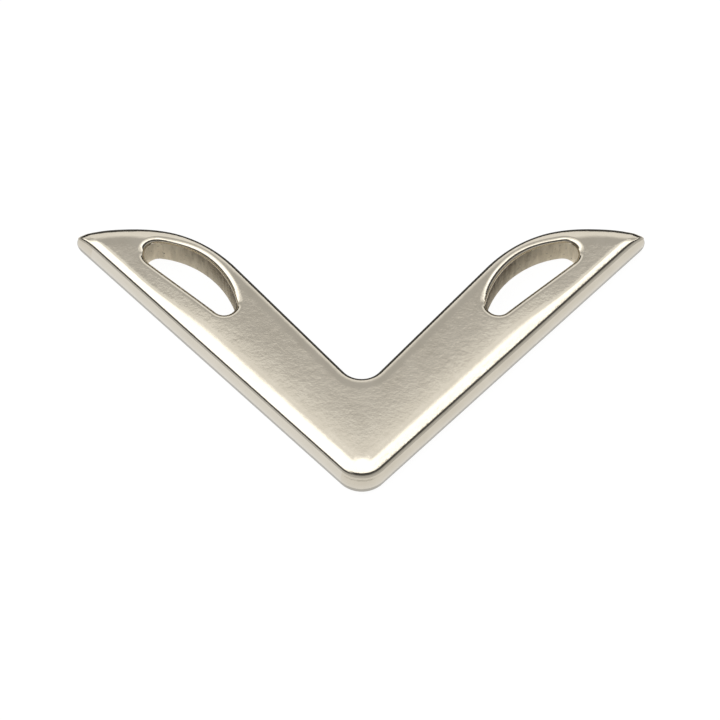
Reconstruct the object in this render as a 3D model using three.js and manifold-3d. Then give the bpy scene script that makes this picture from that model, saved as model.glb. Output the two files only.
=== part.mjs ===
// V-shaped strap connector: one die-cast, nickel-plated piece.
// It lies on its flat back: X runs across the two arms, Y from the apex to the tips,
// and Z is the thickness. Millimetres, with the bottom at Z = 0.

import * as THREE from 'three';
import Module from 'manifold-3d';

// Overall size
const WIDTH = 60.5;            // tip to tip, along X
const THICKNESS = 4.5;         // the highest part of the face above the back

// Outline of one arm, as seen from the front; the other arm is its mirror image.
// "Outer" is the long straight side, "upper" the side with the notch and the leaf.
const OUTER_ANGLE = THREE.MathUtils.degToRad(45);
const INNER_ANGLE = THREE.MathUtils.degToRad(47.7);
const NOTCH_HEIGHT = 12.1;     // where the two inner lines would meet, above the outer corner
const APEX_RADIUS = 3.3;
const NOTCH_RADIUS = 2.2;
const LEAF_RADIUS = 16.5;      // the curved upper side over each slot
const TIP_RADIUS = 0.6;

// Strap slot, in directions along and across its straight side
const SLOT_ANGLE = THREE.MathUtils.degToRad(40.5);
const SLOT_DISTANCE = 5.85;    // from the outer corner to the straight side, square to it
const SLOT_TIP_END = 34.5;     // centre of the end arc near the tip, along the slot
const SLOT_ARM_END = 25.0;     // centre of the other end arc
const SLOT_TIP_RADIUS = 1.45;
const SLOT_ARM_RADIUS = 1.3;
const SLOT_BACK_RADIUS = 9.8;  // the long curved side
const SLOT_RIM = 0.35;         // rounding of the slot's front edge
const SLOT_BACK_RIM = 0.3;     // rounding of its back edge

// Edge wall
const WALL_BULGE_RADIUS = 5;
const WALL_BULGE_HEIGHT = 2;
const BACK_FILLET = 0.5;
const OUTER_FILLET = 0.4;
const UPPER_FILLET = 0.5;
const TIP_FILLET = 0.7;        // rounding of the upper side's edge near the tip
const TIP_DRAFT = 0.42;        // how far the upper side's wall leans in near the tip
const TIP_CHANGE = [19, 26];   // X between which the tip's values take over

// Face: a sloping band along the outer side, a gentle crown, and a fall to the upper side
const EDGE_HEIGHT = 3.75;
const BAND_SLOPE = Math.tan(THREE.MathUtils.degToRad(21));
const ARM_BAND = 1.75;         // width of the band on the solid arm
const LEAF_BAND = 1.1;         // width beside the slot and at the tip
const ARM_BLEND = 0.45;        // rounding between the band and the face
const LEAF_BLEND = 0.12;
const BAND_CHANGE = [15, 23];  // X between which the band narrows
const CROWN_REACH = 4.5;
const CROWN_RISE = THICKNESS - EDGE_HEIGHT - BAND_SLOPE * ARM_BAND;
const LEAF_CROWN_RISE = 0.02;
const UPPER_SLOPE = Math.tan(THREE.MathUtils.degToRad(17));
const UPPER_EDGE = 0.8;        // width of the slope along the upper side
const UPPER_REACH = 1.1;       // how far the face curves down to it
const LEAF_SLOPE = Math.tan(THREE.MathUtils.degToRad(20));
const LEAF_EDGE = 1.5;
const LEAF_REACH = 1.6;
const LEAF_CHANGE = [15, 21];  // X between which the leaf's values take over

// How finely the surface is divided
const APEX_SECTIONS = 9;
const ARM_SECTIONS = 36;
const FILLET_STEPS = 3;
const SLOT_POINTS = 48;
const FLARE_ANGLE = 62;         // how far round its fillet the slot cutter follows each edge
const FLARE_RUNOUT = 0.2;       // how far the cutter carries on past the face and the back

const vector = (x, y) => new THREE.Vector2(x, y);
const direction = (angle) => vector(Math.cos(angle), Math.sin(angle));
const leftOf = (angle) => vector(-Math.sin(angle), Math.cos(angle));

// The centres and directions that the outline is drawn from. The outer corner, where
// the two outer lines would meet, is the origin here.
function outlineFrame() {
  const outward = leftOf(OUTER_ANGLE);
  const along = direction(INNER_ANGLE);
  const across = leftOf(INNER_ANGLE);
  const tipX = WIDTH / 2 - TIP_RADIUS;
  const tip = vector(tipX, (tipX * Math.sin(OUTER_ANGLE) + TIP_RADIUS) / Math.cos(OUTER_ANGLE));
  const start = vector(0, NOTCH_HEIGHT).addScaledVector(across, -LEAF_RADIUS);
  const toTip = start.clone().sub(tip);
  const half = toTip.dot(along);
  const root = Math.sqrt(half * half - toTip.lengthSq() + (LEAF_RADIUS - TIP_RADIUS) ** 2);
  return {
    outward,
    along,
    across,
    apex: vector(0, APEX_RADIUS / Math.cos(OUTER_ANGLE)),
    tip,
    leaf: start.addScaledVector(along, -half - root),
    notch: vector(0, NOTCH_HEIGHT + NOTCH_RADIUS / Math.cos(INNER_ANGLE)),
  };
}
const FRAME = outlineFrame();
const APEX_LOW = FRAME.apex.y - APEX_RADIUS;
const LEAF_TOP = FRAME.leaf.y + LEAF_RADIUS;
const CENTRE_Y = (APEX_LOW + LEAF_TOP) / 2;

const leafTipAngle = FRAME.tip.clone().sub(FRAME.leaf).angle();
const tipMidAngle = (leafTipAngle + OUTER_ANGLE - Math.PI / 2) / 2;

// The outer side, from the apex to the middle of the tip's arc
function outerSide() {
  const path = new THREE.Path();
  path.absarc(FRAME.apex.x, FRAME.apex.y, APEX_RADIUS, -Math.PI / 2, OUTER_ANGLE - Math.PI / 2);
  path.absarc(FRAME.tip.x, FRAME.tip.y, TIP_RADIUS, OUTER_ANGLE - Math.PI / 2, tipMidAngle);
  return path;
}

// The upper side, from the notch to the middle of the tip's arc
function upperSide() {
  const path = new THREE.Path();
  path.absarc(FRAME.notch.x, FRAME.notch.y, NOTCH_RADIUS, -Math.PI / 2, INNER_ANGLE - Math.PI / 2);
  path.absarc(FRAME.leaf.x, FRAME.leaf.y, LEAF_RADIUS, INNER_ANGLE + Math.PI / 2, leafTipAngle, true);
  path.absarc(FRAME.tip.x, FRAME.tip.y, TIP_RADIUS, leafTipAngle, tipMidAngle, true);
  return path;
}

// Distance of a point from the outer side, inwards
function outerDistance(point) {
  const right = vector(Math.abs(point.x), point.y);
  const fromApex = right.clone().sub(FRAME.apex);
  const beyondArc = fromApex.dot(direction(OUTER_ANGLE)) > 0;
  return beyondArc ? right.dot(FRAME.outward) : APEX_RADIUS - fromApex.length();
}

// The same distance, with the fold above the apex smoothed out for the crown
function crownDistance(point) {
  const near = vector(Math.abs(point.x), point.y).dot(FRAME.outward);
  const fold = Math.max(0, 1 - Math.abs(point.x) * Math.sin(OUTER_ANGLE) / APEX_RADIUS);
  return near - (1 - Math.cos(OUTER_ANGLE)) * (APEX_RADIUS - ARM_BAND) * fold ** 2;
}

// Distance of a point from the upper side, inwards
function upperDistance(point) {
  const right = vector(Math.abs(point.x), point.y);
  const fromNotch = right.clone().sub(FRAME.notch);
  const fromLeaf = right.clone().sub(FRAME.leaf);
  if (fromNotch.dot(FRAME.along) < 0) return fromNotch.length() - NOTCH_RADIUS;
  if (fromLeaf.dot(FRAME.along) < 0) return LEAF_RADIUS - fromLeaf.dot(FRAME.across);
  return LEAF_RADIUS - fromLeaf.length();
}

const fraction = (value, low, high) => THREE.MathUtils.clamp((value - low) / (high - low), 0, 1);

// Height of the face above the back, before the edges are rounded
function faceHeight(point) {
  const side = Math.abs(point.x);
  const outer = outerDistance(point);
  const change = THREE.MathUtils.smoothstep(side, ...BAND_CHANGE);
  const band = THREE.MathUtils.lerp(ARM_BAND, LEAF_BAND, change);
  const blend = THREE.MathUtils.lerp(ARM_BLEND, LEAF_BLEND, change);
  const overlap = Math.max(0, 1 - Math.abs(outer - band) / blend) ** 2 * blend / 4;
  const bandRise = BAND_SLOPE * (Math.min(outer, band) - overlap);
  const crown = 1 - (1 - fraction(crownDistance(point), band, band + CROWN_REACH)) ** 3;
  const crownRise = THREE.MathUtils.lerp(CROWN_RISE, LEAF_CROWN_RISE, change) * crown;
  const leaf = THREE.MathUtils.smoothstep(side, ...LEAF_CHANGE);
  const reach = THREE.MathUtils.lerp(UPPER_REACH, LEAF_REACH, leaf);
  const upper = upperDistance(point) - THREE.MathUtils.lerp(UPPER_EDGE, LEAF_EDGE, leaf);
  const curved = (1 - fraction(upper, 0, reach)) ** 3 * reach / 3;
  const slope = THREE.MathUtils.lerp(UPPER_SLOPE, LEAF_SLOPE, leaf);
  const upperFall = slope * (curved + Math.max(0, -upper));
  return EDGE_HEIGHT + bandRise + crownRise - upperFall;
}

const bulge = (z) => WALL_BULGE_RADIUS - Math.sqrt(WALL_BULGE_RADIUS ** 2 - (z - WALL_BULGE_HEIGHT) ** 2);

// The wall below a rounded edge, from the back up: distances in from the side, and heights
function wallProfile(topHeight, fillet) {
  const low = BACK_FILLET * 0.7;
  const high = topHeight - fillet;
  const backEdge = bulge(low) + low * 0.75;
  const points = [vector(backEdge, 0), vector(bulge(low) + low * 0.18, low * 0.3)];
  for (let step = 0; step <= 4; step += 1) {
    const z = THREE.MathUtils.lerp(low, high, step / 4);
    points.push(vector(bulge(z), z));
  }
  return points;
}

// Distances in from the side that round off the face's edge, and how far each one drops
function edgeRounding(fillet) {
  const points = [];
  for (let step = 1; step <= FILLET_STEPS; step += 1) {
    const angle = (Math.PI / 2) * (1 - step / FILLET_STEPS);
    points.push(vector(fillet * (1 - Math.sin(angle)), fillet * (1 - Math.cos(angle))));
  }
  return points;
}

// Distances from the outer side at which a section's face has its own points
function faceSteps(width, outerEnd, upperEnd) {
  const room = width - outerEnd - upperEnd;
  const shares = [0.09, 0.18, 0.27, 0.42, 0.57, 0.72, 0.86, 0.94];
  return shares.map((share) => outerEnd + room * share);
}

// One closed section through the arm, from a point on the outer side to one on the upper
function armSection(outer, upper) {
  const width = outer.distanceTo(upper);
  const inward = upper.clone().sub(outer).divideScalar(width);
  const shrink = Math.min(1, width / 3);
  const nearTip = THREE.MathUtils.smoothstep(outer.x, ...TIP_CHANGE);
  const at = (distance) => outer.clone().addScaledVector(inward, distance);
  const ring = [];
  const add = (distance, z) => ring.push([at(distance).x, at(distance).y, z]);
  const side = (fillet, draft, place) => {
    const round = fillet * shrink;
    const edge = faceHeight(at(place(0)));
    const lean = (z) => bulge(z) + draft * (z / edge) ** 2;
    const rising = [];
    wallProfile(edge, round).forEach((p) => {
      rising.push([place((p.x + draft * (p.y / edge) ** 2) * shrink), p.y]);
    });
    edgeRounding(round).forEach((p) => {
      const distance = place(lean(edge - round) * shrink + p.x);
      rising.push([distance, faceHeight(at(distance)) - p.y]);
    });
    return rising;
  };
  const upperFillet = THREE.MathUtils.lerp(UPPER_FILLET, TIP_FILLET, nearTip);
  const rising = side(OUTER_FILLET, 0, (distance) => distance);
  const falling = side(upperFillet, TIP_DRAFT * nearTip, (distance) => width - distance).reverse();
  const outerEnd = rising.at(-1)[0];
  const upperEnd = width - falling[0][0];
  rising.forEach(([distance, z]) => add(distance, z));
  faceSteps(width, outerEnd, upperEnd).forEach((s) => add(s, faceHeight(at(s))));
  falling.forEach(([distance, z]) => add(distance, z));
  return ring;
}

// Matching points on the two sides, from the middle of the part to the tip
function stationPairs() {
  const outer = outerSide();
  const upper = upperSide();
  const notchShare = NOTCH_RADIUS * INNER_ANGLE / upper.getLength();
  const notchEnd = upper.getPoint(notchShare);
  const footAlong = notchEnd.sub(FRAME.apex).dot(direction(OUTER_ANGLE));
  const footShare = (APEX_RADIUS * OUTER_ANGLE + footAlong) / outer.getLength();
  const pairs = [];
  for (let step = 0; step < APEX_SECTIONS; step += 1) {
    const share = step / APEX_SECTIONS;
    pairs.push([outer.getPoint(footShare * share), upper.getPoint(notchShare * share)]);
  }
  for (let step = 0; step < ARM_SECTIONS; step += 1) {
    const share = 1 - (1 - step / ARM_SECTIONS) ** 1.25;
    pairs.push([
      outer.getPoint(THREE.MathUtils.lerp(footShare, 1, share)),
      upper.getPoint(THREE.MathUtils.lerp(notchShare, 1, share)),
    ]);
  }
  return pairs;
}

// A closed surface through rings of equal length, with its two ends filled by fans
function loft(rings) {
  const size = rings[0].length;
  const position = rings.flat(2);
  const index = [];
  for (let row = 0; row + 1 < rings.length; row += 1) {
    for (let k = 0; k < size; k += 1) {
      const next = (k + 1) % size;
      const a = row * size + k;
      const b = row * size + next;
      index.push(a, b + size, b, a, a + size, b + size);
    }
  }
  [[0, 1], [rings.length - 1, -1]].forEach(([row, turn]) => {
    const middle = position.length / 3;
    const ring = rings[row];
    for (let axis = 0; axis < 3; axis += 1) {
      position.push(ring.reduce((sum, p) => sum + p[axis], 0) / size);
    }
    for (let k = 0; k < size; k += 1) {
      const next = (k + 1) % size;
      const corner = [row * size + k, row * size + next];
      if (turn > 0) index.push(middle, corner[0], corner[1]);
      else index.push(middle, corner[1], corner[0]);
    }
  });
  return { position, index };
}

function bodyBlank() {
  const half = stationPairs().map(([outer, upper]) => armSection(outer, upper));
  const mirrored = half.slice(1).reverse().map((ring) => ring.map(([x, y, z]) => [-x, y, z]));
  return loft([...mirrored, ...half]);
}

// The slot's outline, grown outwards by a distance
function slotOutline(growth) {
  const along = direction(SLOT_ANGLE);
  const across = leftOf(SLOT_ANGLE);
  const centre = (distance, radius) => vector(0, 0)
    .addScaledVector(across, SLOT_DISTANCE + radius).addScaledVector(along, distance);
  const tipEnd = centre(SLOT_TIP_END, SLOT_TIP_RADIUS);
  const armEnd = centre(SLOT_ARM_END, SLOT_ARM_RADIUS);
  const gap = tipEnd.distanceTo(armEnd);
  const toTip = SLOT_BACK_RADIUS - SLOT_TIP_RADIUS;
  const toArm = SLOT_BACK_RADIUS - SLOT_ARM_RADIUS;
  const shareAlong = (toArm ** 2 - toTip ** 2 + gap ** 2) / (2 * gap);
  const back = tipEnd.clone().sub(armEnd).divideScalar(gap);
  const big = armEnd.clone().addScaledVector(back, shareAlong)
    .addScaledVector(vector(back.y, -back.x), Math.sqrt(toArm ** 2 - shareAlong ** 2));
  const tipAngle = tipEnd.clone().sub(big).angle();
  const armAngle = armEnd.clone().sub(big).angle();
  const straight = SLOT_ANGLE - Math.PI / 2;
  const path = new THREE.Path();
  path.absarc(tipEnd.x, tipEnd.y, SLOT_TIP_RADIUS + growth, straight, tipAngle);
  path.absarc(big.x, big.y, SLOT_BACK_RADIUS + growth, tipAngle, armAngle);
  path.absarc(armEnd.x, armEnd.y, SLOT_ARM_RADIUS + growth, armAngle, straight + 2 * Math.PI);
  path.closePath();
  return path.getSpacedPoints(SLOT_POINTS).slice(0, SLOT_POINTS);
}

// The solid that cuts one slot, flared where it rounds the front and back edges
function slotCutter() {
  const ring = (growth, height) => slotOutline(growth).map((p) => [p.x, p.y, height(p)]);
  const flare = (step) => THREE.MathUtils.degToRad(FLARE_ANGLE) * (step / FILLET_STEPS);
  const rings = [ring(SLOT_BACK_RIM + FLARE_RUNOUT, () => -FLARE_RUNOUT * 2)];
  for (let step = FILLET_STEPS; step >= 0; step -= 1) {
    const growth = SLOT_BACK_RIM * (1 - Math.cos(flare(step)));
    rings.push(ring(growth, () => SLOT_BACK_RIM * (1 - Math.sin(flare(step)))));
  }
  for (let step = 0; step <= FILLET_STEPS; step += 1) {
    const growth = SLOT_RIM * (1 - Math.cos(flare(step)));
    rings.push(ring(growth, (p) => faceHeight(p) - SLOT_RIM * (1 - Math.sin(flare(step)))));
  }
  rings.push(ring(SLOT_RIM + FLARE_RUNOUT, (p) => faceHeight(p) + FLARE_RUNOUT * 2));
  return loft(rings.reverse());
}

const mirror = ({ position, index }) => ({
  position: position.map((value, place) => (place % 3 === 0 ? -value : value)),
  index: index.map((_, place) => index[place - (place % 3) + [0, 2, 1][place % 3]]),
});

const wasm = await Module();
wasm.setup();

function toSolid({ position, index }) {
  const mesh = new wasm.Mesh({
    numProp: 3,
    vertProperties: new Float32Array(position),
    triVerts: new Uint32Array(index),
  });
  return new wasm.Manifold(mesh);
}

function toGeometry(solid) {
  const { vertProperties, triVerts } = solid.getMesh();
  const geometry = new THREE.BufferGeometry();
  geometry.setAttribute('position', new THREE.BufferAttribute(vertProperties, 3));
  geometry.setIndex(new THREE.BufferAttribute(triVerts, 1));
  geometry.computeVertexNormals();
  return geometry;
}

function connectorBody() {
  const cutter = slotCutter();
  const solid = toSolid(bodyBlank()).subtract(toSolid(cutter)).subtract(toSolid(mirror(cutter)));
  const satinNickel = new THREE.MeshStandardMaterial({ color: 0xc3b9a7, roughness: 0.3, metalness: 1 });
  const mesh = new THREE.Mesh(toGeometry(solid), satinNickel);
  mesh.name = 'connector_body';
  mesh.position.y = -CENTRE_Y;
  return mesh;
}

const connector = new THREE.Group();
connector.add(connectorBody());

export default connector;
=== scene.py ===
"""Looks of the V-shaped strap connector: one die-cast, nickel-plated piece on a white table."""

import math

import bpy
import numpy as np
from mathutils import Matrix, Vector
from mathutils.geometry import delaunay_2d_cdt


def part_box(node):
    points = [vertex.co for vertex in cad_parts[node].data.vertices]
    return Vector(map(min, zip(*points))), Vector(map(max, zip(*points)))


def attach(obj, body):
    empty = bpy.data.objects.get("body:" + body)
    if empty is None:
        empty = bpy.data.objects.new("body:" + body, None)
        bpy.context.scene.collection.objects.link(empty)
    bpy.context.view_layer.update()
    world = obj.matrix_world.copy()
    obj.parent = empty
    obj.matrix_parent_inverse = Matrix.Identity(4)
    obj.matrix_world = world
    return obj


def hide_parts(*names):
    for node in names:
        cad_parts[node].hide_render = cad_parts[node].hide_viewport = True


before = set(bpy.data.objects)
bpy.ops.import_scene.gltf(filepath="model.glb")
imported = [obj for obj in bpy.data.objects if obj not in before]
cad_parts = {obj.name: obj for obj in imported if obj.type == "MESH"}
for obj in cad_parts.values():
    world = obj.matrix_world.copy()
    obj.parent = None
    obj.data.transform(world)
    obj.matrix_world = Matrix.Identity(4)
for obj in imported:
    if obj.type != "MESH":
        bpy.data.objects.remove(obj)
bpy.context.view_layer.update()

# ---------------------------------------------------------------- driving dimensions
# Lengths below are in design millimetres: shares of the CAD part's height.
THICKNESS = 4.5
LOW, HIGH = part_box("connector_body")
MM = (HIGH.z - LOW.z) / THICKNESS

# Outline of one arm; the other is its mirror image. The outer corner, where the two long
# sides would meet, is the origin of the outline.
HALF_WIDTH = 30.25
OUTER_ANGLE = math.radians(45)
INNER_ANGLE = math.radians(47.7)
NOTCH_HEIGHT = 12.1
APEX_RADIUS = 3.3
NOTCH_RADIUS = 2.2
LEAF_RADIUS = 16.5
TIP_RADIUS = 0.6

# Strap slot
SLOT_ANGLE = math.radians(40.5)
SLOT_DISTANCE = 5.85
SLOT_TIP_END = 34.5
SLOT_ARM_END = 25.0
SLOT_TIP_RADIUS = 1.45
SLOT_ARM_RADIUS = 1.3
SLOT_BACK_RADIUS = 9.8
SLOT_RIM = 0.4
SLOT_BEVEL = 0.2
SLOT_BEVEL_BLEND = 0.1
SLOT_BEVEL_SLOPE = math.tan(math.radians(20))
SLOT_BACK_RIM = 0.3

# Edge wall
WALL_BULGE_RADIUS = 5.0
WALL_BULGE_HEIGHT = 2.0
BACK_FILLET = 0.42
OUTER_FILLET = 0.4
UPPER_FILLET = 0.5
TIP_FILLET = 0.7
TIP_DRAFT = 0.42
TIP_CHANGE = (19.0, 26.0)
TIP_CORNER = 0.08

# Face: a sloping band along the outer side, a gentle crown, and a fall to the upper side.
# The arm's values change to the leaf's, beside the slot, over a stretch of X.
EDGE_HEIGHT = 3.75
BAND_SLOPE = math.tan(math.radians(21))
ARM_BAND = 1.75
LEAF_BAND = 1.1
ARM_BLEND = 0.45
LEAF_BLEND = 0.12
BAND_CHANGE = (15.0, 23.0)
CROWN_REACH = 4.5
CROWN_RISE = THICKNESS - EDGE_HEIGHT - BAND_SLOPE * ARM_BAND
LEAF_CROWN_RISE = 0.02
UPPER_SLOPE = math.tan(math.radians(17))
UPPER_EDGE = 0.8
UPPER_REACH = 1.1
LEAF_SLOPE = math.tan(math.radians(20))
LEAF_EDGE = 1.5
LEAF_REACH = 1.6
LEAF_CHANGE = (15.0, 21.0)

# Camera: a long lens on the apex's side. Its distance runs from a point a little nearer than the aim.
CAMERA_DISTANCE = 380.0
CAMERA_ELEVATION = math.radians(62)
CAMERA_AZIMUTH = math.radians(-0.66)
CAMERA_ROLL = math.radians(-0.185)
CAMERA_AIM = Vector((-0.14, 0.67, 0.0))
CAMERA_NEAR_SHIFT = 3.15
PICTURE_WIDTH = 75.4

# Studio: bands of light round the part. An angle is the tilt, in degrees, of a surface that mirrors
# that direction to the camera. From the back: a dark backdrop, a window, a wall, the ceiling, a
# softbox, a black flag and the glow of the floor.
TILT_RANGE = 60
STUDIO_STRENGTH = 3.0
BACKDROP = 0.02
WINDOW = 1.1
WALL = 0.6
CEILING = 1.1
SOFTBOX = 2.1
FLAG = 0.1
FLOOR = 0.5
BACKDROP_END = -25
WINDOW_TILTS = (-24, -17)
WALL_TILTS = (-10, 0)
CEILING_START = 2
CEILING_FADE = 6
FLOOR_FADE = 4
# For each side of the part: where the softbox starts and ends, and where the flag starts and ends.
LEFT_TILTS = (18, 34, 42, 54)
RIGHT_TILTS = (18, 22, 26, 42)
APEX_TILTS = (9, 24, 27, 46)
# How far sideways a surface faces where the apex's bands change to the arms', and how far
# forwards or back where the tilt's sign changes. The guard keeps a level surface from dividing by 0.
APEX_TO_ARM = (0.3, 0.55)
SIGN_CHANGE = 0.35
FLAT_GUARD = 0.001

# Table
TABLE_WIDTHS = 60
TABLE_GLOW = (0.93, 0.6)
TABLE_GLOW_REACH = (60.0, 110.0)
TABLE_GREY = (0.1, 0.1, 0.1, 1)
TABLE_ROUGHNESS = 0.8
WHITE = (1, 1, 1, 1)

# V-shaped cards on the table, which only show in the part's reflections: each one's two distances
# in from the part's outer side, below zero outside it, and its glow. The black one starts under
# the arms.
# The contact card's dim glow is painted contact shade along the part's foot, seen in the lower walls'
# reflections.
CARDS = {"black_card": (4.8, 300.0, 0.04), "painted_contact_shade_card": (-0.25, 1.0, 0.55),
         "near_card": (-3.4, -0.2, 0.93), "far_card": (-300.0, -3.4, 0.6)}
CARD_POINTS = 12
CARD_REACH = 300.0
CARD_LIFT = 0.02
CARD_BLACK = (0.01, 0.01, 0.01, 1)
CARD_ROUGHNESS = 0.9

# Metal
NOISE_SPREAD = (0.3, 0.7)
NICKEL_LIGHT = (0.66, 0.607, 0.508, 1)
NICKEL_DARK = (0.6, 0.548, 0.452, 1)
NICKEL_WORN = (0.72, 0.68, 0.6, 1)
NICKEL_WORN_POINTINESS = (0.5, 0.56)
NICKEL_WORN_SHARE = 0.5
NICKEL_ROUGHNESS = (0.05, 0.1)
NICKEL_CLOUDS = 0.35
NICKEL_GRAIN = 3.2
NICKEL_GRAIN_DEPTH = 0.009
NICKEL_RIPPLE = 1.1
NICKEL_RIPPLE_DEPTH = 0.009
HAIRLINE_STRETCH = (0.5, 14.0, 4.0)
HAIRLINE_TURN = math.radians(12)
HAIRLINE_DEPTH = 0.0012
CAST_METALLIC = 0.15
CAST_LIGHT = (0.97, 0.88, 0.7, 1)
# Colour of the painted shade on the slot walls, and the tone of their random streaks.
CAST_PAINTED_SHADE_AND_STREAKS = (0.17, 0.135, 0.085, 1)
CAST_SPECK = (0.08, 0.07, 0.06, 1)
# Painted shade on the slot walls grows with height between these two heights, under the rim, and
# towards the arm between the next two distances from the middle, up to the share after them.
CAST_SHADE = (-2.0, 4.1)
CAST_ARM_SHADE = (25.0, 15.5)
CAST_ARM_SHARE = 0.9
CAST_ROUGHNESS = (0.35, 0.6)
CAST_PITS = 2.6
CAST_DEPTH = 0.05
CAST_SPECK_SPREAD = (0.6, 0.68)
CAST_STREAK_STRETCH = (2.2, 2.2, 0.35)
CAST_STREAK_SPREAD = (0.35, 0.7)
CAST_STREAK_SHARE = 0.25

# Fineness of the mesh
APEX_POINTS = 20
OUTER_POINTS = 160
TIP_POINTS = 24
LEAF_POINTS = 90
INNER_POINTS = 70
NOTCH_POINTS = 16
SLOT_END_POINTS = 28
SLOT_SIDE_POINTS = 56
ROUND_STEPS = 8
WALL_STEPS = 10
BEVEL_STEPS = 8
FACE_STEP = 0.2
BACK_STEP = 1.0
FILLING_CLEARANCE = 0.55
FILLING_TOLERANCE = 1e-7
MIRROR = np.array([-1.0, 1.0])


# ---------------------------------------------------------------- outline
def along(angle):
    return np.array([math.cos(angle), math.sin(angle)])


def left_of(angle):
    return np.array([-math.sin(angle), math.cos(angle)])


def angle_of(vector):
    return math.atan2(vector[1], vector[0])


OUTWARD = left_of(OUTER_ANGLE)
APEX = np.array([0.0, APEX_RADIUS / math.cos(OUTER_ANGLE)])
TIP_X = HALF_WIDTH - TIP_RADIUS
TIP = np.array([TIP_X, (TIP_X * math.sin(OUTER_ANGLE) + TIP_RADIUS) / math.cos(OUTER_ANGLE)])
NOTCH = np.array([0.0, NOTCH_HEIGHT + NOTCH_RADIUS / math.cos(INNER_ANGLE)])


def leaf_centre():
    """Centre of the curved upper side, tangent to the inner line and to the tip's arc."""
    start = np.array([0.0, NOTCH_HEIGHT]) - left_of(INNER_ANGLE) * LEAF_RADIUS
    to_tip = start - TIP
    half = to_tip @ along(INNER_ANGLE)
    root = math.sqrt(half**2 - to_tip @ to_tip + (LEAF_RADIUS - TIP_RADIUS) ** 2)
    return start + along(INNER_ANGLE) * (-half - root)


LEAF = leaf_centre()
CENTRE_Y = (APEX[1] - APEX_RADIUS + LEAF[1] + LEAF_RADIUS) / 2


def arc_points(centre, radius, start, end, count):
    """Points on an arc and the directions from its centre, without the last point."""
    angles = start + (end - start) * np.arange(count) / count
    rays = np.stack([np.cos(angles), np.sin(angles)], axis=1)
    return centre + rays * radius, rays


def line_points(start, end, count):
    """Points on a line, without the last one."""
    shares = np.arange(count)[:, None] / count
    return start + (end - start) * shares


def tip_centre(outer, upper, radius):
    """Centre of the tip's arc where the two sides are moved in by these distances."""
    foot = OUTWARD * (outer + radius)
    to_foot = foot - LEAF
    half = to_foot @ along(OUTER_ANGLE)
    root = math.sqrt(half**2 - to_foot @ to_foot + (LEAF_RADIUS - upper - radius) ** 2)
    return foot + along(OUTER_ANGLE) * (root - half)


def body_outline(outer=0.0, upper=0.0):
    """Points round the whole part, counter-clockwise, and the directions into it.
    The outer and upper sides are moved in by the two distances."""
    quarter = math.pi / 2
    outer_side = OUTER_ANGLE - quarter
    radius = max(TIP_RADIUS - (outer + upper) / 2, TIP_CORNER)
    tip = tip_centre(outer, upper, radius)
    leaf_start = angle_of(tip - LEAF)
    points, inward = [], []

    def add(new_points, new_inward):
        points.append(new_points)
        inward.append(np.broadcast_to(new_inward, new_points.shape))

    arc, ray = arc_points(APEX, APEX_RADIUS - outer, -quarter, outer_side, APEX_POINTS)
    add(arc, -ray)
    line_start = APEX + along(outer_side) * (APEX_RADIUS - outer)
    add(line_points(line_start, tip + along(outer_side) * radius, OUTER_POINTS), OUTWARD)
    arc, ray = arc_points(tip, radius, outer_side, leaf_start, TIP_POINTS)
    add(arc, -ray)
    arc, ray = arc_points(LEAF, LEAF_RADIUS - upper, leaf_start, INNER_ANGLE + quarter, LEAF_POINTS)
    add(arc, -ray)
    line_start = LEAF + left_of(INNER_ANGLE) * (LEAF_RADIUS - upper)
    line_end = NOTCH - left_of(INNER_ANGLE) * (NOTCH_RADIUS + upper)
    add(line_points(line_start, line_end, INNER_POINTS), -left_of(INNER_ANGLE))
    arc, ray = arc_points(NOTCH, NOTCH_RADIUS + upper, INNER_ANGLE - quarter, -quarter, NOTCH_POINTS)
    add(arc, ray)
    right = np.concatenate(points)
    right_inward = np.concatenate(inward)
    last = NOTCH - np.array([0.0, NOTCH_RADIUS + upper])
    left = np.concatenate([last[None], right[:0:-1] * MIRROR])
    left_inward = np.concatenate([[[0.0, -1.0]], right_inward[:0:-1] * MIRROR])
    return np.concatenate([right, left]), np.concatenate([right_inward, left_inward])


def slot_outline(growth, side):
    """Points round one slot, grown outwards. side is 1 for the right arm and -1 for the left."""
    across = left_of(SLOT_ANGLE)
    straight = SLOT_ANGLE - math.pi / 2
    tip_end = across * (SLOT_DISTANCE + SLOT_TIP_RADIUS) + along(SLOT_ANGLE) * SLOT_TIP_END
    arm_end = across * (SLOT_DISTANCE + SLOT_ARM_RADIUS) + along(SLOT_ANGLE) * SLOT_ARM_END
    gap = np.linalg.norm(tip_end - arm_end)
    to_tip = SLOT_BACK_RADIUS - SLOT_TIP_RADIUS
    to_arm = SLOT_BACK_RADIUS - SLOT_ARM_RADIUS
    share = (to_arm**2 - to_tip**2 + gap**2) / (2 * gap)
    unit = (tip_end - arm_end) / gap
    back = arm_end + unit * share + np.array([unit[1], -unit[0]]) * math.sqrt(to_arm**2 - share**2)
    tip_angle = angle_of(tip_end - back)
    arm_angle = angle_of(arm_end - back)
    end_turn = straight + 2 * math.pi
    tip_arc, _ = arc_points(tip_end, SLOT_TIP_RADIUS + growth, straight, tip_angle, SLOT_END_POINTS)
    back_arc, _ = arc_points(back, SLOT_BACK_RADIUS + growth, tip_angle, arm_angle, SLOT_SIDE_POINTS)
    arm_arc, _ = arc_points(arm_end, SLOT_ARM_RADIUS + growth, arm_angle, end_turn, SLOT_END_POINTS)
    edge_start = arm_end + along(straight) * (SLOT_ARM_RADIUS + growth)
    edge_end = tip_end + along(straight) * (SLOT_TIP_RADIUS + growth)
    edge = line_points(edge_start, edge_end, SLOT_SIDE_POINTS)
    points = np.concatenate([tip_arc, back_arc, arm_arc, edge])
    if side > 0:
        return points
    return (points * MIRROR)[::-1]


# ---------------------------------------------------------------- heights
def share_of(value, low, high):
    return np.clip((value - low) / (high - low), 0.0, 1.0)


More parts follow.
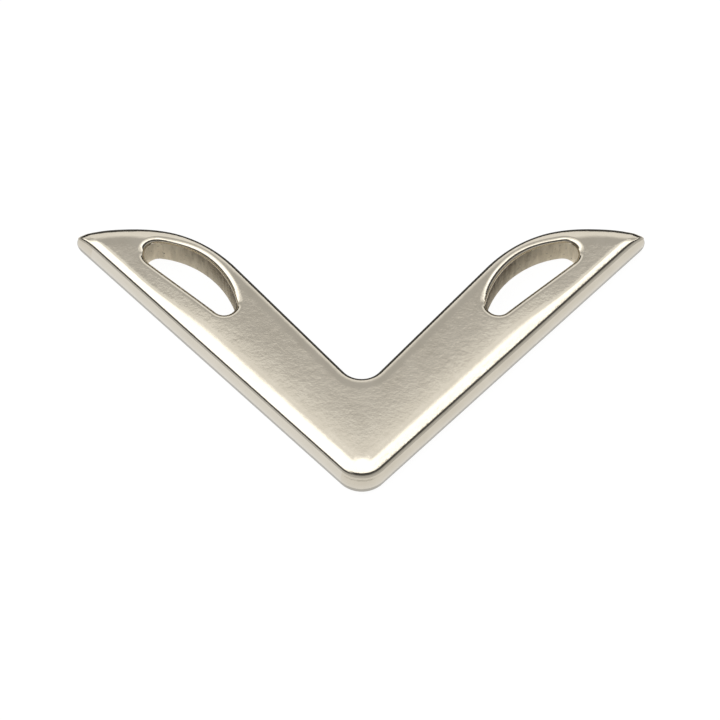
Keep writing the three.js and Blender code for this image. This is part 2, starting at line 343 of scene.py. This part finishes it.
def smooth_share(value, low, high):
    t = share_of(value, low, high)
    return t * t * (3 - 2 * t)


def mix(low, high, share):
    return low + (high - low) * share


def on_right(points):
    return np.stack([np.abs(points[:, 0]), points[:, 1]], axis=1)


def outer_distance(points):
    right = on_right(points)
    from_apex = right - APEX
    beyond = from_apex @ along(OUTER_ANGLE) > 0
    return np.where(beyond, right @ OUTWARD, APEX_RADIUS - np.linalg.norm(from_apex, axis=1))


def crown_distance(points):
    """The distance from the outer side, with the fold above the apex smoothed out."""
    near = on_right(points) @ OUTWARD
    fold = np.clip(1 - np.abs(points[:, 0]) * math.sin(OUTER_ANGLE) / APEX_RADIUS, 0, None)
    return near - (1 - math.cos(OUTER_ANGLE)) * (APEX_RADIUS - ARM_BAND) * fold**2


def upper_distance(points):
    right = on_right(points)
    from_notch = right - NOTCH
    from_leaf = right - LEAF
    on_notch = from_notch @ along(INNER_ANGLE) < 0
    on_line = from_leaf @ along(INNER_ANGLE) < 0
    notch = np.linalg.norm(from_notch, axis=1) - NOTCH_RADIUS
    line = LEAF_RADIUS - from_leaf @ left_of(INNER_ANGLE)
    leaf = LEAF_RADIUS - np.linalg.norm(from_leaf, axis=1)
    return np.where(on_notch, notch, np.where(on_line, line, leaf))


def face_height(points):
    """Height of the face above the back, before the edges are rounded."""
    side = np.abs(points[:, 0])
    outer = outer_distance(points)
    change = smooth_share(side, *BAND_CHANGE)
    band = mix(ARM_BAND, LEAF_BAND, change)
    blend = mix(ARM_BLEND, LEAF_BLEND, change)
    past = np.abs(outer - band) / blend
    overlap = np.clip(1 - past, 0, None) ** 2 * blend / 4
    band_rise = BAND_SLOPE * (np.minimum(outer, band) - overlap)
    crown = 1 - (1 - share_of(crown_distance(points), band, band + CROWN_REACH)) ** 3
    crown_rise = mix(CROWN_RISE, LEAF_CROWN_RISE, change) * crown
    leaf = smooth_share(side, *LEAF_CHANGE)
    reach = mix(UPPER_REACH, LEAF_REACH, leaf)
    upper = upper_distance(points) - mix(UPPER_EDGE, LEAF_EDGE, leaf)
    curved = reach / 3 * (1 - share_of(upper, 0, reach)) ** 3
    upper_fall = mix(UPPER_SLOPE, LEAF_SLOPE, leaf) * (curved + np.clip(-upper, 0, None))
    return EDGE_HEIGHT + band_rise + crown_rise - upper_fall


def bulge(z):
    return WALL_BULGE_RADIUS - np.sqrt(WALL_BULGE_RADIUS**2 - (z - WALL_BULGE_HEIGHT) ** 2)


# ---------------------------------------------------------------- mesh building
class Skin:
    """Vertices and faces of one mesh, with a material index for each face."""

    def __init__(self):
        self.points = []
        self.faces = []
        self.slots = []

    def add_points(self, plan, heights):
        first = sum(len(p) for p in self.points)
        heights = np.broadcast_to(heights, len(plan))
        self.points.append(np.column_stack([plan, heights]))
        return np.arange(first, first + len(plan))

    def add_faces(self, faces, slot):
        self.faces.extend(faces)
        self.slots.extend([slot] * len(faces))

    def join_rings(self, lower, upper, slot):
        """Quads between two rings that run counter-clockwise, facing away from their middle."""
        faces = np.column_stack([lower, np.roll(lower, -1), np.roll(upper, -1), upper])
        self.add_faces(faces.tolist(), slot)

    def to_mesh(self, name):
        points = np.concatenate(self.points)
        points[:, 1] -= CENTRE_Y
        mesh = bpy.data.meshes.new(name)
        mesh.from_pydata((points * MM).tolist(), [], self.faces)
        mesh.polygons.foreach_set("material_index", self.slots)
        mesh.polygons.foreach_set("use_smooth", [True] * len(mesh.polygons))
        mesh.update()
        return mesh


POLISHED, CAST = 0, 1


def inside(points, loop):
    """Which points lie inside a closed loop."""
    result = np.zeros(len(points), bool)
    for start, end in zip(loop, np.roll(loop, -1, axis=0)):
        if start[1] == end[1]:
            continue
        crosses = (start[1] > points[:, 1]) != (end[1] > points[:, 1])
        at = start[0] + (points[:, 1] - start[1]) * (end[0] - start[0]) / (end[1] - start[1])
        result ^= crosses & (points[:, 0] < at)
    return result


def filling_points(loops, step):
    """A triangular grid inside the first loop and outside the others, clear of them all."""
    edge = np.concatenate(loops)
    low, high = loops[0].min(axis=0), loops[0].max(axis=0)
    rows = np.arange(low[1], high[1], step * math.sqrt(3) / 2)
    grid = []
    for number, y in enumerate(rows):
        x = np.arange(low[0] + step / 2 * (number % 2), high[0], step)
        grid.append(np.column_stack([x, np.full(len(x), y)]))
    grid = np.concatenate(grid)
    keep = inside(grid, loops[0])
    for hole in loops[1:]:
        keep &= ~inside(grid, hole)
    grid = grid[keep]
    clear = np.array([np.min(np.sum((edge - p) ** 2, axis=1)) for p in grid])
    return grid[clear > (FILLING_CLEARANCE * step) ** 2]


def fill(skin, rings, heights, step, slot, upward):
    """Fills the area inside the first ring and outside the others with triangles."""
    loops = [np.concatenate(skin.points)[ring][:, :2] for ring in rings]
    inner = filling_points(loops, step)
    inner_rows = skin.add_points(inner, heights(inner))
    rows = np.concatenate([*rings, inner_rows])
    plan = np.concatenate([*loops, inner])
    edges, first = [], 0
    for loop in loops:
        last = first + len(loop)
        edges += [(k, k + 1 if k + 1 < last else first) for k in range(first, last)]
        first = last
    found = delaunay_2d_cdt([Vector(p) for p in plan.tolist()], edges, [], 0, FILLING_TOLERANCE)
    triangles = np.array(found[2])
    source = np.array([origins[0] for origins in found[3]])
    triangles = source[triangles]
    middle = plan[triangles].mean(axis=1)
    keep = inside(middle, loops[0])
    for hole in loops[1:]:
        keep &= ~inside(middle, hole)
    triangles = rows[triangles[keep]]
    if not upward:
        triangles = triangles[:, ::-1]
    skin.add_faces(triangles.tolist(), slot)


def side_rings(skin):
    """The wall round the whole part, from the back's edge to the face's edge."""
    outline, inward = body_outline()
    heading = np.arctan2(-inward[:, 1], -inward[:, 0] * np.where(outline[:, 0] < 0, -1, 1))
    upper = smooth_share(heading, -OUTER_ANGLE, OUTER_ANGLE)
    near_tip = smooth_share(np.abs(outline[:, 0]), *TIP_CHANGE)
    fillet = mix(OUTER_FILLET, mix(UPPER_FILLET, TIP_FILLET, near_tip), upper)
    high = face_height(outline) - fillet
    draft = TIP_DRAFT * near_tip * upper
    rings = []

    def add(lean, rounding, heights):
        """A ring that leans in by the wall's bulge at a height and by a share of its draft,
        and by a share of the fillet."""
        bulged, drafted = lean
        outer_inset = np.min(bulged) + OUTER_FILLET * rounding
        upper_inset = np.min(bulged) + TIP_DRAFT * drafted + TIP_FILLET * rounding
        plan, _ = body_outline(outer_inset, upper_inset)
        inset = bulged + draft * drafted + fillet * rounding
        plan = plan + inward * (inset - mix(outer_inset, upper_inset, upper))[:, None]
        rings.append(skin.add_points(plan, heights(plan) if callable(heights) else heights))

    for step in range(ROUND_STEPS):
        angle = math.pi / 2 * step / ROUND_STEPS
        inset = bulge(BACK_FILLET) + BACK_FILLET * (1 - math.sin(angle))
        add((np.full(len(outline), inset), 0.0), 0.0, BACK_FILLET * (1 - math.cos(angle)))
    for step in range(WALL_STEPS + 1):
        z = BACK_FILLET + (high - BACK_FILLET) * step / WALL_STEPS
        add((bulge(z), (step / WALL_STEPS) ** 2), 0.0, z)
    for step in range(1, ROUND_STEPS + 1):
        angle = math.pi / 2 * (1 - step / ROUND_STEPS)
        drop = fillet * (1 - math.cos(angle))
        add((bulge(high), 1.0), 1 - math.sin(angle), lambda plan, drop=drop: face_height(plan) - drop)
    for lower, upper_ring in zip(rings, rings[1:]):
        skin.join_rings(lower, upper_ring, POLISHED)
    return rings[0], rings[-1]


def slot_fall(growth):
    """How far the bevel round a slot lies below the face, at a distance from the slot's wall."""
    left = SLOT_RIM + SLOT_BEVEL - growth
    blend = np.clip(left + SLOT_BEVEL_BLEND, 0, 2 * SLOT_BEVEL_BLEND) ** 2 / (4 * SLOT_BEVEL_BLEND)
    return SLOT_BEVEL_SLOPE * (blend + np.clip(left - SLOT_BEVEL_BLEND, 0, None))


def slot_rings(skin, side):
    """The wall, rim and bevel of one slot, from the back's edge to the face's edge."""
    rings = []
    for step in range(ROUND_STEPS):
        angle = math.pi / 2 * step / ROUND_STEPS
        plan = slot_outline(SLOT_BACK_RIM * (1 - math.sin(angle)), side)
        rings.append(skin.add_points(plan, SLOT_BACK_RIM * (1 - math.cos(angle))))
    plan = slot_outline(0.0, side)
    top = face_height(plan) - slot_fall(0.0) - SLOT_RIM
    for step in range(WALL_STEPS + 1):
        rings.append(skin.add_points(plan, mix(SLOT_BACK_RIM, top, step / WALL_STEPS)))
    rim_ends = len(rings)
    for step in range(1, ROUND_STEPS + 1):
        angle = math.pi / 2 * step / ROUND_STEPS
        growth = SLOT_RIM * (1 - math.cos(angle))
        drop = slot_fall(growth) + SLOT_RIM * (1 - math.sin(angle))
        plan = slot_outline(growth, side)
        rings.append(skin.add_points(plan, face_height(plan) - drop))
    for step in range(1, BEVEL_STEPS + 1):
        growth = SLOT_RIM + (SLOT_BEVEL + SLOT_BEVEL_BLEND) * step / BEVEL_STEPS
        plan = slot_outline(growth, side)
        rings.append(skin.add_points(plan, face_height(plan) - slot_fall(growth)))
    for number, (lower, upper) in enumerate(zip(rings, rings[1:])):
        slot = POLISHED if number >= rim_ends else CAST
        skin.join_rings(upper, lower, slot)
    return rings[0], rings[-1]


def connector_mesh():
    skin = Skin()
    back_edge, face_edge = side_rings(skin)
    slots = [slot_rings(skin, side) for side in (1, -1)]
    face_loops = [face_edge] + [front for _, front in slots]
    back_loops = [back_edge] + [back for back, _ in slots]
    fill(skin, face_loops, face_height, FACE_STEP, POLISHED, upward=True)
    fill(skin, back_loops, lambda plan: np.zeros(len(plan)), BACK_STEP, POLISHED, upward=False)
    return skin.to_mesh("connector")


# ---------------------------------------------------------------- shader helpers
def socket_or_value(links, socket, value):
    if isinstance(value, bpy.types.NodeSocket):
        links.new(value, socket)
    else:
        socket.default_value = value


def calculate(tree, operation, *values, clamp=False):
    node = tree.nodes.new("ShaderNodeMath")
    node.operation = operation
    node.use_clamp = clamp
    for socket, value in zip(node.inputs, values):
        socket_or_value(tree.links, socket, value)
    return node.outputs[0]


def rescale(tree, value, low, high, new_low=0.0, new_high=1.0):
    node = tree.nodes.new("ShaderNodeMapRange")
    numbers = (value, low, high, new_low, new_high)
    for socket, number in zip(node.inputs, numbers):
        socket_or_value(tree.links, socket, number)
    return node.outputs["Result"]


def color_mix(tree, share, first, second):
    node = tree.nodes.new("ShaderNodeMix")
    node.data_type = "RGBA"
    for name, value in (("Factor_Float", share), ("A_Color", first), ("B_Color", second)):
        socket = next(s for s in node.inputs if s.identifier == name)
        socket_or_value(tree.links, socket, value)
    return next(s for s in node.outputs if s.identifier == "Result_Color")


def place_on_part(tree, stretch=(1.0, 1.0, 1.0), turn=0.0):
    """Positions on the part in design millimetres, turned about Z and stretched."""
    place = tree.nodes.new("ShaderNodeTexCoord")
    mapping = tree.nodes.new("ShaderNodeMapping")
    mapping.inputs["Rotation"].default_value = (0, 0, turn)
    mapping.inputs["Scale"].default_value = [share / MM for share in stretch]
    tree.links.new(place.outputs["Object"], mapping.inputs["Vector"])
    return mapping.outputs["Vector"]


def noise(tree, place, scale, detail=3.0, roughness=0.5):
    texture = tree.nodes.new("ShaderNodeTexNoise")
    texture.inputs["Scale"].default_value = scale
    texture.inputs["Detail"].default_value = detail
    texture.inputs["Roughness"].default_value = roughness
    tree.links.new(place, texture.inputs["Vector"])
    return texture.outputs["Fac"]


def bump(tree, height, distance, strength, before=None):
    node = tree.nodes.new("ShaderNodeBump")
    node.inputs["Distance"].default_value = distance * MM
    node.inputs["Strength"].default_value = strength
    tree.links.new(height, node.inputs["Height"])
    if before is not None:
        tree.links.new(before, node.inputs["Normal"])
    return node.outputs["Normal"]


# ---------------------------------------------------------------- materials
def new_material(name, metallic):
    material = bpy.data.materials.new(name)
    material.use_nodes = True
    tree = material.node_tree
    shader = tree.nodes["Principled BSDF"]
    shader.inputs["Metallic"].default_value = metallic
    return material, tree, shader


def satin_nickel():
    """Polished nickel plate: fine grain, faint clouds, hairlines and brighter worn edges."""
    material, tree, shader = new_material("satin_nickel", 1.0)
    place = place_on_part(tree)
    clouds = noise(tree, place, NICKEL_CLOUDS, 4.0, 0.6)
    grain = noise(tree, place, NICKEL_GRAIN, 5.0, 0.65)
    ripple = noise(tree, place, NICKEL_RIPPLE, 2.0)
    hairlines = noise(tree, place_on_part(tree, HAIRLINE_STRETCH, HAIRLINE_TURN), 1.0, 4.0, 0.7)
    geometry = tree.nodes.new("ShaderNodeNewGeometry")
    worn = rescale(tree, geometry.outputs["Pointiness"], *NICKEL_WORN_POINTINESS)
    clouded = rescale(tree, clouds, *NOISE_SPREAD)
    plate = color_mix(tree, clouded, NICKEL_DARK, NICKEL_LIGHT)
    worn = calculate(tree, "MULTIPLY", worn, NICKEL_WORN_SHARE)
    colour = color_mix(tree, worn, plate, NICKEL_WORN)
    tree.links.new(colour, shader.inputs["Base Color"])
    rough = rescale(tree, grain, *NOISE_SPREAD, *NICKEL_ROUGHNESS)
    tree.links.new(rough, shader.inputs["Roughness"])
    surface = bump(tree, ripple, NICKEL_RIPPLE_DEPTH, 1.0)
    surface = bump(tree, grain, NICKEL_GRAIN_DEPTH, 1.0, surface)
    surface = bump(tree, hairlines, HAIRLINE_DEPTH, 1.0, surface)
    tree.links.new(surface, shader.inputs["Normal"])
    return material


def cast_nickel():
    """The skin inside the slots, as cast: dull, brownish, pitted and streaked, with painted shade
    that darkens it under the rim and towards the arm."""
    material, tree, shader = new_material("cast_nickel", CAST_METALLIC)
    place = place_on_part(tree)
    pits = noise(tree, place, CAST_PITS, 6.0, 0.7)
    streaks = noise(tree, place_on_part(tree, CAST_STREAK_STRETCH), 1.0, 3.0, 0.6)
    object_place = tree.nodes.new("ShaderNodeTexCoord")
    split = tree.nodes.new("ShaderNodeSeparateXYZ")
    tree.links.new(object_place.outputs["Object"], split.inputs[0])
    # Painted shade: darker higher up the wall, under the rim, and nearer the arm, with the random
    # streaks added.
    low, high = CAST_SHADE
    painted_shade_under_rim = rescale(tree, split.outputs["Z"], low * MM, high * MM)
    side = calculate(tree, "ABSOLUTE", split.outputs["X"])
    tip_end, arm_end = CAST_ARM_SHADE
    painted_shade_near_arm = rescale(tree, side, tip_end * MM, arm_end * MM, 0.0, CAST_ARM_SHARE)
    streaked = rescale(tree, streaks, *CAST_STREAK_SPREAD, 0.0, CAST_STREAK_SHARE)
    painted_shade_and_streaks = calculate(tree, "MULTIPLY_ADD", painted_shade_under_rim, painted_shade_near_arm, streaked, clamp=True)
    metal = color_mix(tree, painted_shade_and_streaks, CAST_LIGHT, CAST_PAINTED_SHADE_AND_STREAKS)
    specks = rescale(tree, pits, *CAST_SPECK_SPREAD)
    colour = color_mix(tree, specks, metal, CAST_SPECK)
    tree.links.new(colour, shader.inputs["Base Color"])
    rough = rescale(tree, pits, *NOISE_SPREAD, *CAST_ROUGHNESS)
    tree.links.new(rough, shader.inputs["Roughness"])
    tree.links.new(bump(tree, pits, CAST_DEPTH, 1.0), shader.inputs["Normal"])
    return material


def table_white():
    """A white sheet that glows evenly where the part lies, and less far away from it."""
    material, tree, shader = new_material("table_white", 0.0)
    shader.inputs["Base Color"].default_value = TABLE_GREY
    shader.inputs["Roughness"].default_value = TABLE_ROUGHNESS
    shader.inputs["Emission Color"].default_value = WHITE
    place = tree.nodes.new("ShaderNodeTexCoord")
    length = tree.nodes.new("ShaderNodeVectorMath")
    length.operation = "LENGTH"
    tree.links.new(place.outputs["Object"], length.inputs[0])
    distance = length.outputs["Value"]
    near, far = TABLE_GLOW_REACH
    glow = rescale(tree, distance, near * MM, far * MM, *TABLE_GLOW)
    tree.links.new(glow, shader.inputs["Emission Strength"])
    return material


def card_shade(name, glow):
    """A black surface that glows evenly."""
    material, _, shader = new_material(name, 0.0)
    shader.inputs["Base Color"].default_value = CARD_BLACK
    shader.inputs["Roughness"].default_value = CARD_ROUGHNESS
    shader.inputs["Emission Color"].default_value = WHITE
    shader.inputs["Emission Strength"].default_value = glow
    return material


# ---------------------------------------------------------------- the piece
def connector():
    mesh = connector_mesh()
    mesh.materials.append(satin_nickel())
    mesh.materials.append(cast_nickel())
    piece = bpy.data.objects.new("strap_connector", mesh)
    bpy.context.scene.collection.objects.link(piece)
    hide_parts("connector_body")
    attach(piece, "root")


# ---------------------------------------------------------------- studio
def table():
    size = TABLE_WIDTHS * (HIGH.x - LOW.x)
    bpy.ops.mesh.primitive_plane_add(size=size, location=(0, 0, LOW.z))
    floor = bpy.context.object
    floor.name = "table"
    floor.data.materials.append(table_white())


def card(name, corners, glow):
    """A flat card just above the table, seen only in the part's reflections."""
    mesh = bpy.data.meshes.new(name)
    points = [(x * MM, (y - CENTRE_Y) * MM, LOW.z + CARD_LIFT * MM) for x, y in corners]
    mesh.from_pydata(points, [], [list(range(len(points)))])
    mesh.materials.append(card_shade(name, glow))
    item = bpy.data.objects.new(name, mesh)
    bpy.context.scene.collection.objects.link(item)
    item.visible_camera = False
    item.visible_diffuse = False
    item.visible_shadow = False


def v_edge(distance):
    """The right half of a line at a distance in from the part's outer side, from the middle out."""
    turn = OUTER_ANGLE - math.pi / 2
    radius = APEX_RADIUS - distance
    rise = CARD_REACH * math.tan(OUTER_ANGLE)
    far = np.array([[CARD_REACH, distance / math.cos(OUTER_ANGLE) + rise]])
    if radius <= 0:
        return np.concatenate([[[0.0, distance / math.cos(OUTER_ANGLE)]], far])
    arc, _ = arc_points(APEX, radius, -math.pi / 2, turn, CARD_POINTS)
    return np.concatenate([arc, [APEX + along(turn) * radius], far])


def cards():
    """The V-shaped cards, each between two lines along the part's outer sides."""
    for name, (low, high, glow) in CARDS.items():
        lower, upper = v_edge(low), v_edge(high)
        corners = [lower, upper[::-1], upper[1:] * MIRROR, lower[:0:-1] * MIRROR]
        card(name, np.concatenate(corners).tolist(), glow)


def studio_bands(softbox_start, softbox_end, flag_start, flag_end):
    """Brightness by tilt, from the backdrop to the floor."""
    ceiling_end = softbox_start - CEILING_FADE
    return [
        (-TILT_RANGE, BACKDROP), (BACKDROP_END, BACKDROP),
        (WINDOW_TILTS[0], WINDOW), (WINDOW_TILTS[1], WINDOW),
        (WALL_TILTS[0], WALL), (WALL_TILTS[1], WALL),
        (CEILING_START, CEILING), (ceiling_end, CEILING),
        (softbox_start, SOFTBOX), (softbox_end, SOFTBOX),
        (flag_start, FLAG), (flag_end, FLAG), (flag_end + FLOOR_FADE, FLOOR),
    ]


def brightness_ramp(tree, share, tilts):
    """The bands as a colour ramp over the range of tilts."""
    stops = studio_bands(*tilts)
    node = tree.nodes.new("ShaderNodeValToRGB")
    elements = node.color_ramp.elements
    while len(elements) < len(stops):
        elements.new(0.5)  # moved to its place below
    for element, (tilt, brightness) in zip(elements, stops):
        level = brightness / STUDIO_STRENGTH
        element.position = (tilt + TILT_RANGE) / (2 * TILT_RANGE)
        element.color = (level, level, level, 1)
    tree.links.new(share, node.inputs["Fac"])
    return node.outputs["Color"]


def studio_light():
    """Soft light from all round. Each direction's brightness is set by the tilt of the surface that
    would mirror it towards the photographer: positive for the outer sides, negative for the upper."""
    world = bpy.data.worlds.new("studio")
    bpy.context.scene.world = world
    world.use_nodes = True
    tree = world.node_tree
    place = tree.nodes.new("ShaderNodeTexCoord")
    add = tree.nodes.new("ShaderNodeVectorMath")
    tree.links.new(place.outputs["Generated"], add.inputs[0])
    add.inputs[1].default_value = view_direction()
    unit = tree.nodes.new("ShaderNodeVectorMath")
    unit.operation = "NORMALIZE"
    tree.links.new(add.outputs[0], unit.inputs[0])
    split = tree.nodes.new("ShaderNodeSeparateXYZ")
    tree.links.new(unit.outputs[0], split.inputs[0])
    x, y, z = split.outputs
    tilt = calculate(tree, "ARCCOSINE", z)
    flat = calculate(tree, "ADD", calculate(tree, "SINE", tilt), FLAT_GUARD)
    forwards = calculate(tree, "DIVIDE", y, flat)
    sign = rescale(tree, forwards, SIGN_CHANGE, -SIGN_CHANGE, -1.0, 1.0)
    reach = math.radians(TILT_RANGE)
    share = rescale(tree, calculate(tree, "MULTIPLY", tilt, sign), -reach, reach)
    across = calculate(tree, "DIVIDE", x, flat)
    low, high = APEX_TO_ARM
    left = rescale(tree, across, -low, -high)
    right = rescale(tree, across, low, high)
    light = color_mix(tree, left, brightness_ramp(tree, share, APEX_TILTS),
                      brightness_ramp(tree, share, LEFT_TILTS))
    light = color_mix(tree, right, light, brightness_ramp(tree, share, RIGHT_TILTS))
    background = tree.nodes["Background"]
    tree.links.new(light, background.inputs["Color"])
    background.inputs["Strength"].default_value = STUDIO_STRENGTH


def view_direction():
    """From the part towards the camera."""
    return Vector((
        math.sin(CAMERA_AZIMUTH) * math.cos(CAMERA_ELEVATION),
        -math.cos(CAMERA_AZIMUTH) * math.cos(CAMERA_ELEVATION),
        math.sin(CAMERA_ELEVATION),
    ))


def camera():
    """A long lens above the apex's side, as in the photograph. Up in the picture is the part's +Y."""
    place = Vector((0, CAMERA_AIM.y - CAMERA_NEAR_SHIFT, 0)) + view_direction() * CAMERA_DISTANCE
    view = (place - CAMERA_AIM).normalized()
    up = (Vector((0, 1, 0)) - view * view.y).normalized()
    axes = Matrix((up.cross(view), up, view)).transposed()
    data = bpy.data.cameras.new("camera")
    data.lens = data.sensor_width * CAMERA_DISTANCE / PICTURE_WIDTH
    data.clip_start = MM
    item = bpy.data.objects.new("camera", data)
    turn = axes.to_4x4() @ Matrix.Rotation(CAMERA_ROLL, 4, "Z")
    item.matrix_world = Matrix.Translation(place * MM) @ turn
    bpy.context.scene.collection.objects.link(item)
    bpy.context.scene.camera = item


connector()
table()
cards()
studio_light()
camera()
bpy.context.scene.view_settings.view_transform = "Standard"

bpy.context.view_layer.update()
